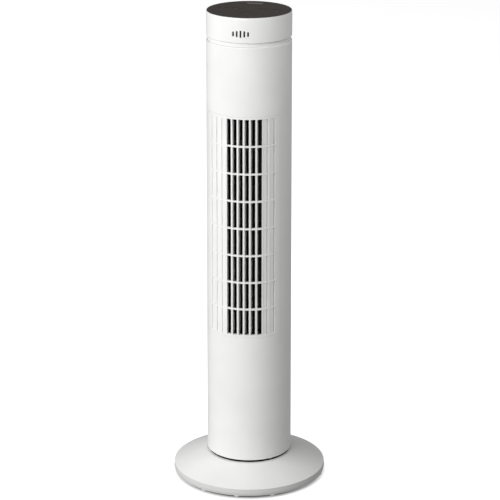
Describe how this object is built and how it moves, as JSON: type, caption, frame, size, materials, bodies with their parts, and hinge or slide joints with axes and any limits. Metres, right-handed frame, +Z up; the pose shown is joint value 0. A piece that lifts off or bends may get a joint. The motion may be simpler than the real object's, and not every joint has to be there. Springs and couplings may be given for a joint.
{
  "type": "tower fan",
  "caption": "Oscillating tower fan: slim white column with an upright slotted outlet grille, dark key panel on top, round weighted base.",
  "frame": {"origin": "on the floor under the middle of the base", "axes": "+Z up along the column, -Y towards the front with the outlet grille, +X to the right seen from the front"},
  "size_m": [0.2506, 0.2506, 0.78],
  "materials": {
    "white_plastic": "satin",
    "base_white_plastic": "satin",
    "dark_panel": "satin",
    "dark_key": "satin",
    "black_plastic": "matte",
    "grey_plastic": "matte",
    "natural_plastic": "matte",
    "smoked_plastic": "gloss",
    "clear_plastic": "gloss",
    "black_rubber": "matte",
    "display_lens": "satin",
    "printed_mark": "matte",
    "zinc_steel": "zinc plated",
    "ground_steel": "ground",
    "ballast_iron": "black coated",
    "motor_steel": "zinc coated",
    "bearing_bronze": "sintered",
    "green_board": "solder mask",
    "capacitor_case": "moulded",
    "wire_sleeve": "sleeved"
  },
  "bodies": {
    "base": {"base_cover": "base_white_plastic", "base_plate": "black_plastic", "ballast_ring": "ballast_iron", "rubber_feet": "black_rubber", "base_screws": "zinc_steel", "cord_gland": "black_rubber", "turntable": "black_plastic", "turntable_screws": "zinc_steel", "pivot_hub": "grey_plastic", "hub_screws": "zinc_steel", "slide_ring": "natural_plastic", "swing_gear": "natural_plastic", "gear_screws": "zinc_steel"},
    "column": {"column_foot": "grey_plastic", "foot_screws": "zinc_steel", "swing_motor": "motor_steel", "swing_motor_screws": "zinc_steel", "front_shell": "white_plastic", "rear_shell": "white_plastic", "shell_screws": "zinc_steel", "outlet_grille": "white_plastic", "intake_grille": "white_plastic", "duct_scroll": "black_plastic", "duct_tongue": "black_plastic", "duct_floor": "black_plastic", "duct_ceiling": "black_plastic", "duct_screws": "zinc_steel", "axle_bearing": "bearing_bronze", "fan_motor": "motor_steel", "motor_grommets": "black_rubber", "motor_screws": "zinc_steel", "power_board": "green_board", "run_capacitor": "capacitor_case", "power_board_screws": "zinc_steel", "wire_harness": "wire_sleeve", "head_ring": "white_plastic", "control_panel": "dark_panel", "display_window": "display_lens", "display_module": "black_plastic", "sensor_window": "smoked_plastic", "control_board": "green_board", "board_screws": "zinc_steel", "light_pipes": "clear_plastic", "indicator_leds": "clear_plastic", "tact_switches": "black_plastic", "ir_receiver": "smoked_plastic", "buzzer": "black_plastic"},
    "pinion": {"swing_pinion": "natural_plastic", "swing_shaft": "ground_steel"},
    "impeller": {"crossflow_impeller": "black_plastic", "drive_bushing": "black_rubber", "motor_shaft": "ground_steel", "impeller_axle": "ground_steel"},
    "power_button": {"power_key": "dark_key"},
    "timer_button": {"timer_key": "dark_key"},
    "mode_button": {"mode_key": "dark_key"},
    "swing_button": {"swing_key": "dark_key"},
    "speed_button": {"speed_key": "dark_key"}
  },
  "joints": [
    {"name": "swing", "type": "hinge", "parent": "base", "child": "column", "pos_m": [0, 0, 0.05], "axis": [0, 0, 1], "range_deg": [-35, 35]},
    {"name": "pinion_turn", "type": "hinge", "parent": "column", "child": "pinion", "pos_m": [0, 0.0385, 0.055], "axis": [0, 0, 1], "range_deg": [-160, 160]},
    {"name": "impeller_spin", "type": "hinge", "parent": "column", "child": "impeller", "pos_m": [0, 0.006, 0.44], "axis": [0, 0, 1], "continuous": true},
    {"name": "power_press", "type": "slide", "parent": "column", "child": "power_button", "axis": [0, 0, -1], "range_m": [0, 0.0005], "stiffness_N_per_m": 1500, "springref_m": -0.0004},
    {"name": "timer_press", "type": "slide", "parent": "column", "child": "timer_button", "axis": [0, 0, -1], "range_m": [0, 0.0005], "stiffness_N_per_m": 1500, "springref_m": -0.0004},
    {"name": "mode_press", "type": "slide", "parent": "column", "child": "mode_button", "axis": [0, 0, -1], "range_m": [0, 0.0005], "stiffness_N_per_m": 1500, "springref_m": -0.0004},
    {"name": "swing_press", "type": "slide", "parent": "column", "child": "swing_button", "axis": [0, 0, -1], "range_m": [0, 0.0005], "stiffness_N_per_m": 1500, "springref_m": -0.0004},
    {"name": "speed_press", "type": "slide", "parent": "column", "child": "speed_button", "axis": [0, 0, -1], "range_m": [0, 0.0005], "stiffness_N_per_m": 1500, "springref_m": -0.0004}
  ],
  "couplings": [
    {"joint": "pinion_turn", "follows": "swing", "ratio": 4.5}
  ]
}
